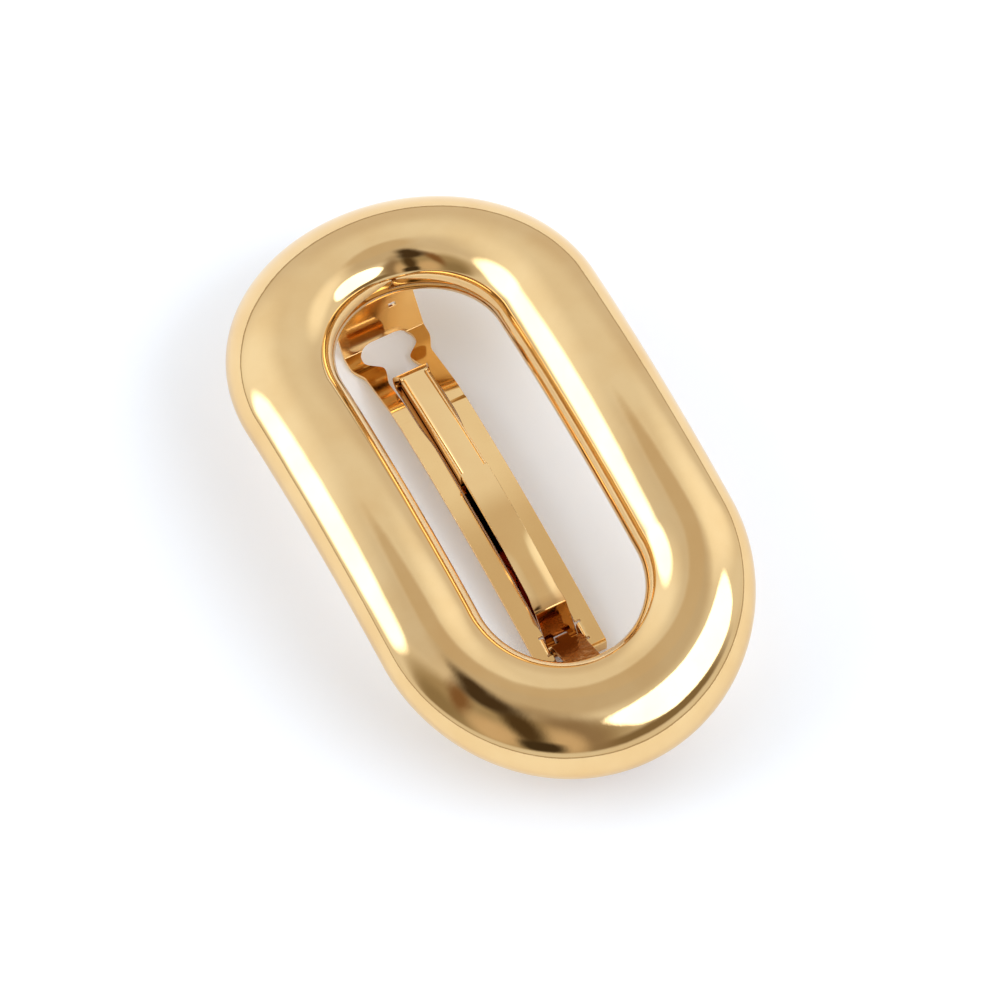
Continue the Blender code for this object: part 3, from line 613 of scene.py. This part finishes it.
# The nose and the lip's bridge run right across, and the rest has its opening, ears, notches and hole.
mid = (x[1:] + x[:-1]) / 2
low = z[1:] < LIP_BRIDGE_HEIGHT / 2
across = (mid < WINDOW_START_X) | (low & (mid > EAR_END_X))
gaps = np.zeros(len(mid), bool)
for ear, side in ((EAR_START_X, -1), (EAR_END_X, 1)):
    gaps |= between(mid * side, ear * side, ear * side + NOTCH_LENGTH)
eared = between(mid, EAR_START_X, EAR_END_X)
walls = np.repeat((across | eared)[:, None], EAR_STEPS + 1, axis=1)
present = np.concatenate((np.ones((len(mid), 1), bool), ~gaps[:, None], walls, across[:, None]), axis=1)
pierced = present.copy()
pierced[between(mid, hole_start, hole_end), 1] = False
arm_mesh = folded_strip("arm_strip", path, half_widths, rises, present, pierced)
arm = add_piece("arm_strip", arm_mesh, clasp_gold, "locking_arm", "gold_plated_strip", "locking_arm")
thickened(arm, -1.0, SHEET, SHEET_EDGE)

# Tension bar: one spring strip, folded back under itself at its tip, that bows up in the arm's slot to press
# the hair. Past a crease it dives to the pin, forked, with a curl on each side of the tongue.
CLEARANCE = 0.0003
BAR_TOP_DROP = 0.0071
BAR_CREST_X = -0.0015
BAR_ARCH_RADIUS = 0.068
BAR_ARCH_REACH = 0.008
BAR_FOLD_X = VALLEY_X + 0.005
BAR_FLANGE_END_X = -0.0036
BAR_FLANGE_END_STEP = 0.0001
BAR_EDGE_BEND = 0.0003
BAR_EDGE_STEPS = 5
LEAF_CLEARANCE = 0.0001
KNUCKLE_CLEARANCE = 0.0001
BAR_CREASE_X = 0.014
BAR_CREASE_RADIUS = 0.0003
BAR_LEAF_END_X = 0.015
BAR_HALF_WIDTH = SLOT_HALF_WIDTH - CLEARANCE
BAR_END_HALF_WIDTH = 0.0018
BAR_NECK_X = 0.0118
BAR_SIDE_DROP = 0.0002
BAR_CAMBER_X = 0.003
BAR_CAMBER_LENGTH = 0.006
BAR_CURL_INNER_Y = 0.0008
BAR_CURL_SWEEP = math.radians(215)
BAR_SIDE_CELLS = 6
BAR_LEAF_ROWS = 50
BAR_BOW_ROWS = 100
BAR_FOLD_STEPS = 28
BAR_CREASE_STEPS = 8
BAR_CURL_STEPS = 48
ROW_GAP = 0.0001
SPRING_GOLD = "#F2CD90"
SPRING_DEEP_GOLD = "#EEC588"
# Painted shade: this brown stands in for the dark recess under the ring. It is mixed into the spring strip
# from the first height down, in full at the second, and it is the hinge tongue's colour.
PAINTED_SHADE_BROWN = "#B0783C"
PAINTED_SHADE_FROM_Z = 0.0044
PAINTED_SHADE_FULL_Z = 0.0038

pin_z = float(arm_z(PIN_X)) - SHEET - PIN_UNDER_ARM - PIN_RADIUS


def bar_z(x):
    """Middle of the bar's thickness: a parabola that bows up towards the ring, straight on to the tip."""
    away = x - BAR_CREST_X
    bowed = np.maximum(away, -BAR_ARCH_REACH)
    return RING_HEIGHT - BAR_TOP_DROP - SHEET / 2 - bowed * (2 * away - bowed) / (2 * BAR_ARCH_RADIUS)


def curl_round_pin(start, sweep, steps):
    """The strip's straight run from start meets a circle round the pin and follows it. Gives the point on
    the run where the full-width strip stops, its lower corner just clear of the other strip's curl, and the
    circle's points (px + r cos t, pz + r sin t)."""
    radius = PIN_RADIUS + PIN_CLEARANCE + SHEET / 2
    dx, dz = PIN_X - start[0], pin_z - start[1]
    heading = math.atan2(dz, dx) - math.asin(radius / math.hypot(dx, dz))
    curl = arc((PIN_X, pin_z), radius, heading - math.pi / 2, heading - math.pi / 2 + sweep, steps)
    clear = radius + SHEET / 2 + KNUCKLE_CLEARANCE
    reach = math.sqrt(clear ** 2 - (radius - SHEET / 2) ** 2)
    return curl[0] - np.array((math.cos(heading), math.sin(heading))) * reach, curl


# Bright gold plate on spring strip: the same plate over a smoother rolled face. Low down, inside the fold
# and
# round the pin, its colour turns brown: painted shade for the dark recess under the ring.
spring_gold = gold_plate("bright_gold_plated_spring_strip", SPRING_GOLD, SPRING_DEEP_GOLD, roughness=0.045,
                         wave=(0.0035, 0.000003), ripple=(0.0006, 0.0000003), line=(0.0002, 0.00000008))
tree = spring_gold.node_tree
colour = tree.nodes["Principled BSDF"].inputs["Base Color"]
place = node(tree, "ShaderNodeTexCoord", out="Object")
# Painted shade: the colour turns brown low down, by height alone.
height = node(tree, "ShaderNodeSeparateXYZ", (place,), "Z")
low = node(tree, "ShaderNodeMapRange", {"Value": height, "From Min": PAINTED_SHADE_FROM_Z, "From Max": PAINTED_SHADE_FULL_Z})
plated = colour.links[0].from_socket
shaded_colour = node(tree, "ShaderNodeMix", {"Factor": low, MIX_A: plated, MIX_B: linear(PAINTED_SHADE_BROWN)},
             MIX_RESULT, data_type="RGBA")
tree.links.new(shaded_colour, colour)

# Along the strip: lower leaf, fold, bowed upper leaf, crease, the dive to the pin, and the curl round it.
leaf_x = np.linspace(BAR_LEAF_END_X, BAR_FOLD_X, BAR_LEAF_ROWS)
lower = np.stack((leaf_x, arm_z(leaf_x) - SHEET / 2), axis=1)
flange_end = (BAR_FLANGE_END_X, BAR_FLANGE_END_X + BAR_FLANGE_END_STEP)
bow_x = np.union1d(np.linspace(BAR_FOLD_X, BAR_CREASE_X, BAR_BOW_ROWS), flange_end)
bow = np.stack((bow_x, bar_z(bow_x)), axis=1)
fold_radius = (bow[0, 1] - lower[-1, 1]) / 2
fold_middle = (BAR_FOLD_X, lower[-1, 1] + fold_radius)
fold = arc(fold_middle, fold_radius, 1.5 * math.pi, math.pi / 2, BAR_FOLD_STEPS)[1:-1]
fork, curl = curl_round_pin(bow[-1], BAR_CURL_SWEEP, BAR_CURL_STEPS)
crease = bend(bow[0], bow[-1], fork, BAR_CREASE_RADIUS, BAR_CREASE_STEPS)
bow = bow[bow[:, 0] < crease[0, 0] - ROW_GAP]
path = np.concatenate((lower, fold, bow, crease, [fork], curl))
fork_row = len(path) - len(curl) - 1
x, z = path[:, 0], path[:, 1]
rows = np.arange(len(path))

# Across it: the flange's foot, its bend, and cells up to the fork's gap. The lower leaf fills the slot.
leaf = arm_opening(x) - LEAF_CLEARANCE
narrowing = ease((x - BAR_NECK_X) / (BAR_CREASE_X - BAR_NECK_X))
upper = BAR_HALF_WIDTH + (BAR_END_HALF_WIDTH - BAR_HALF_WIDTH) * narrowing
share = ease(2 * (rows - len(lower)) / len(fold) - 1)
outer = np.where(rows >= fork_row, BAR_END_HALF_WIDTH, leaf + (upper - leaf) * share)[:, None]
on_bow = (rows >= len(lower) + len(fold)) & (rows < fork_row)
flanged = (on_bow & (x <= BAR_FLANGE_END_X + BAR_FLANGE_END_STEP / 2))[:, None]
edge = np.where(flanged, outer - SHEET / 2, outer)
turn = np.linspace(math.pi / 2, 0, BAR_EDGE_STEPS + 1)
bent = edge - BAR_EDGE_BEND * (1 - np.sin(turn))
share = np.linspace(0, 1, BAR_SIDE_CELLS + 1)[1:]
inward = bent[:, -1:] + (BAR_CURL_INNER_Y - bent[:, -1:]) * share
half_widths = np.concatenate((edge, bent, inward, np.full((len(path), 1), BAR_CURL_INNER_Y / 2)), axis=1)
camber = np.where(on_bow, BAR_SIDE_DROP * ease((x - BAR_CAMBER_X) / BAR_CAMBER_LENGTH), 0.0)[:, None]
rises = -camber * (half_widths / outer) ** 2
rises[:, 1:len(turn) + 1] -= flanged * BAR_EDGE_BEND * (1 - np.cos(turn))
rises[:, 0] = arm_z(x) + CLEARANCE - z
present = np.ones((len(path) - 1, half_widths.shape[1]), bool)
present[:, 0] = flanged[1:, 0] & flanged[:-1, 0]
present[fork_row:, len(turn) + BAR_SIDE_CELLS:] = False
bar_mesh = folded_strip("sprung_bar", path, half_widths, rises, present)
bar = add_piece("sprung_bar", bar_mesh, spring_gold,
                "tension_bar", "gold_plated_spring_strip", "tension_bar")
thickened(bar, 0.0, SHEET, SHEET_EDGE)

# Hinge bracket: a plate of the same strip soldered under the ring's hinge end. Its tongue bends down
# through the arm and curls round the pin, between the bar's two curls.
BRACKET_HALF_WIDTH = 0.004
BRACKET_END_X = RING_STRAIGHT / 2 + RING_END_RADIUS + 0.0028
TONGUE_START_X = RING_STRAIGHT / 2 + RING_END_RADIUS - 0.0062
SOLDER_THICKNESS = 0.0003
SOLDER_GAP = 0.00005
TONGUE_HALF_WIDTH = 0.00175
KNUCKLE_HALF_WIDTH = 0.0007
TONGUE_CURL_SWEEP = math.radians(255)
TONGUE_BEND_RADIUS = 0.002
TONGUE_BEND_STEPS = 14
TONGUE_CURL_STEPS = 56
BRACKET_STEPS = 30
# Painted shade: the darker brown that the hinge tongue's haze patches take.
PAINTED_DEEP_SHADE_BROWN = "#965A22"


def bracket_line(start, end, steps=BRACKET_STEPS):
    """Middle of a bracket's thickness, a constant drop under the ring's arched back."""
    x = np.linspace(start, end, steps + 1)
    return np.stack((x, ring_back_z(x) - 2 * SOLDER_GAP - SOLDER_THICKNESS - SHEET / 2), axis=1)


# The same plate over strip that was bent by hand: wavier and duller, so its mirror image breaks up, and
# painted brown all through as painted shade for the dark hinge recess under the ring.
bent_gold = gold_plate("gold_plated_hand_bent_strip_in_painted_shade", PAINTED_SHADE_BROWN, PAINTED_DEEP_SHADE_BROWN, roughness=0.13,
                       wave=(0.0007, 0.00005), ripple=(0.0004, 0.000002), line=(0.0002, 0.0000001))
plate = bracket_line(BRACKET_END_X, TONGUE_START_X)
shoulder, curl = curl_round_pin(plate[-1], TONGUE_CURL_SWEEP, TONGUE_CURL_STEPS)
turn = bend(plate[0], plate[-1], shoulder, TONGUE_BEND_RADIUS, TONGUE_BEND_STEPS)
plate = plate[plate[:, 0] > turn[0, 0] + ROW_GAP]
path = np.concatenate((plate, turn, [shoulder], curl))
half_widths = np.tile((BRACKET_HALF_WIDTH, TONGUE_HALF_WIDTH, KNUCKLE_HALF_WIDTH), (len(path), 1))
present = np.ones((len(path) - 1, 3), bool)
present[len(plate):, 0] = False
present[len(path) - len(curl) - 1:, 1] = False
bracket_mesh = folded_strip("hinge_tongue", path, half_widths, 0 * half_widths, present)
bracket = add_piece("hinge_tongue", bracket_mesh, bent_gold, "ring", "gold_plated_strip", "hinge_bracket")
thickened(bracket, 0.0, SHEET, SHEET_EDGE)

# Catch fingers: two narrow strips of gold plated spring steel that hang behind the nose from the catch
# plate. Each has a small pressed bump that the nose snaps past.
FINGER_OFFSET = 0.0018
FINGER_HALF_WIDTH = 0.0007
FINGER_GAP_TO_NOSE = 0.0006
FINGER_LENGTH = 0.0036
FINGER_BUMP_DROP = 0.0018
FINGER_BUMP_HALF_LENGTH = 0.0006
FINGER_BUMP_HEIGHT = 0.0003
FINGER_CORNER = 0.0003
FINGER_ROWS = 45

finger_x = nose_x - SHEET * math.sin(NOSE_ANGLE) - FINGER_GAP_TO_NOSE - SHEET / 2
finger_top = float(bracket_line(finger_x, finger_x, 0)[0, 1]) - SHEET / 2 - CLEARANCE

# Down each finger: x stands out by the bump, height * cos^2, and the lower corners are quarter circles.
drop = np.linspace(0, FINGER_LENGTH, FINGER_ROWS)
bump = np.cos(np.clip((drop - FINGER_BUMP_DROP) / FINGER_BUMP_HALF_LENGTH, -1, 1) * math.pi / 2) ** 2
path = np.stack((finger_x + FINGER_BUMP_HEIGHT * bump, finger_top - drop), axis=1)
from_end = np.clip(FINGER_LENGTH - drop, 0, FINGER_CORNER)
corner = FINGER_CORNER - np.sqrt(FINGER_CORNER ** 2 - (FINGER_CORNER - from_end) ** 2)
for side, name in ((-1, "left"), (1, "right")):
    y = side * FINGER_OFFSET + (FINGER_HALF_WIDTH - corner)[:, None] * (-1, 1)
    points = np.stack((path[:, :1] + 0 * y, y, path[:, 1:] + 0 * y), axis=-1)
    finger_mesh = grid_mesh(f"finger_{name}", points)
    body = f"catch_finger_{name}"
    finger = add_piece(f"finger_{name}", finger_mesh, spring_gold, body, "gold_plated_spring_strip", body)
    thickened(finger, 0.0, SHEET, SHEET_EDGE)

# Catch plate: the plate that the fingers hang from. It is cut from the same gold plated strip as the arm
# and soldered under the ring's other end.
catch_start = finger_x + SHEET / 2
path = bracket_line(-BRACKET_END_X, catch_start)
flat = np.full((len(path), 1), BRACKET_HALF_WIDTH)
present = np.ones((len(path) - 1, 1), bool)
catch_mesh = folded_strip("catch_plate", path, flat, 0 * flat, present)
catch = add_piece("catch_plate", catch_mesh, clasp_gold, "ring", "gold_plated_strip", "catch_bracket")
thickened(catch, 0.0, SHEET, SHEET_EDGE)

# Solder: a thin layer between each bracket and the ring's back, wavy where it set, flashed with gold when
# the whole clip was plated.
SOLDER_INSET = 0.0006
SOLDER_EDGE = SOLDER_THICKNESS / 4
SOLDER_START_X = RING_STRAIGHT / 2 + RING_END_RADIUS - 0.0038
SOLDER_GOLD = "#D2B486"
SOLDER_DEEP_GOLD = "#A98A5C"

# Gold flash over solder: paler and much duller than the strip, with a lumpy face.
soldered = gold_plate("gold_flashed_solder", SOLDER_GOLD, SOLDER_DEEP_GOLD, roughness=0.3,
                      wave=(0.0008, 0.00002), ripple=(0.0002, 0.000002), line=(0.0002, 0.0000001))
lift = SHEET / 2 + SOLDER_GAP + SOLDER_THICKNESS / 2
for name, node_name, start, end in (
    ("hinge_solder", "solder_hinge_end", BRACKET_END_X - SOLDER_INSET, SOLDER_START_X + SOLDER_INSET),
    ("catch_solder", "solder_catch_end", SOLDER_INSET - BRACKET_END_X, catch_start - SOLDER_INSET),
):
    path = bracket_line(start, end) + (0.0, lift)
    flat = np.full((len(path), 1), BRACKET_HALF_WIDTH - SOLDER_INSET)
    present = np.ones((len(path) - 1, 1), bool)
    layer_mesh = folded_strip(name, path, flat, 0 * flat, present)
    layer = add_piece(name, layer_mesh, soldered, "ring", "solder", node_name)
    thickened(layer, 0.0, SOLDER_THICKNESS, SOLDER_EDGE)

# Hinge pin: a length of drawn steel wire, gold plated with the rest, that runs through both ears and all
# three curls. Its ends are dressed round.
PIN_STANDOUT = 0.0002
PIN_HALF_LENGTH = SLOT_HALF_WIDTH + SHEET + PIN_STANDOUT
PIN_END_ROUND = 0.00015
PIN_SIDES = 48
PIN_END_STEPS = 5
PIN_MERGE_REACH = 1e-7
WIRE_GOLD = "#F0CE9A"
WIRE_DEEP_GOLD = "#E2BC82"

# Gold plate on drawn wire: a satin gloss, from the die's fine lines, drawn as coarse as the strip's.
wire_gold = gold_plate("gold_plated_drawn_wire", WIRE_GOLD, WIRE_DEEP_GOLD, roughness=0.12,
                       wave=(0.001, 0.000002), ripple=(0.0002, 0.0000004), line=(0.0002, 0.0000001))

# The wire is a profile (r, y) turned round the pin's axis: x = px + r cos t, z = pz + r sin t.
corner_middle = (PIN_RADIUS - PIN_END_ROUND, PIN_HALF_LENGTH - PIN_END_ROUND)
end = arc(corner_middle, PIN_END_ROUND, math.pi / 2, 0, PIN_END_STEPS)
half = np.concatenate(([(0.0, PIN_HALF_LENGTH)], end))
outline = np.concatenate((half, half[::-1] * (1, -1)))
turn = np.linspace(0, 2 * math.pi, PIN_SIDES + 1)
x = PIN_X + outline[:, :1] * np.cos(turn)
z = pin_z + outline[:, :1] * np.sin(turn)
points = np.stack((x, outline[:, 1:] + 0 * x, z), axis=-1)
pin_mesh = grid_mesh("pin_wire", points)
bm = bmesh.new()
bm.from_mesh(pin_mesh)
bmesh.ops.remove_doubles(bm, verts=bm.verts, dist=PIN_MERGE_REACH)
bmesh.ops.recalc_face_normals(bm, faces=bm.faces)
bm.to_mesh(pin_mesh)
bm.free()
add_piece("pin_wire", pin_mesh, wire_gold, "ring", "gold_plated_pin", "hinge_pin")
